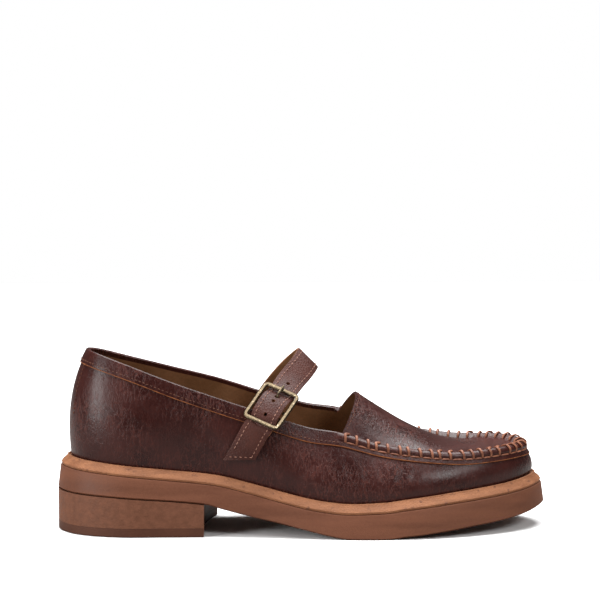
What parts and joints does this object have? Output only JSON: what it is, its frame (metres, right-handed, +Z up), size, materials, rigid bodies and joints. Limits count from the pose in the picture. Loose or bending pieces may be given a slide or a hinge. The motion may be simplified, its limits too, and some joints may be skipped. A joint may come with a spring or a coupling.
{
  "type": "loafer",
  "caption": "Right slip-on shoe with a rolled moccasin seam, a buckled instep strap, a thick welted sole and a block heel.",
  "frame": {"origin": "centre of the bounding box, on the floor the shoe stands on", "axes": "+X to the toe, +Y to the inner (medial) side, +Z up"},
  "size_m": [0.276, 0.1008, 0.102],
  "materials": {
    "upper_leather": "glossy crinkled oxblood leather",
    "strap_leather": "smooth waxed leather with stitched edges",
    "tab_leather": "smooth waxed leather",
    "buckle_brass": "antique brass, dark faces and worn bright edges",
    "prong_brass": "antique brass",
    "lining_leather": "matte tan-brown lining leather",
    "welt_leather": "tan leather with a rough grain",
    "sole_brown": "matte light moulded sole, brown",
    "heel_brown": "matte light moulded heel, mottled brown",
    "lift_brown": "matte dense rubber, dark brown"
  },
  "bodies": {
    "root": {"upper": "upper_leather", "strap": "strap_leather", "buckle_tab": "tab_leather", "buckle_frame": "buckle_brass", "buckle_prong": "prong_brass", "insole": "lining_leather", "welt": "welt_leather", "outsole": "sole_brown", "heel_block": "heel_brown", "top_lift": "lift_brown"}
  },
  "joints": []
}
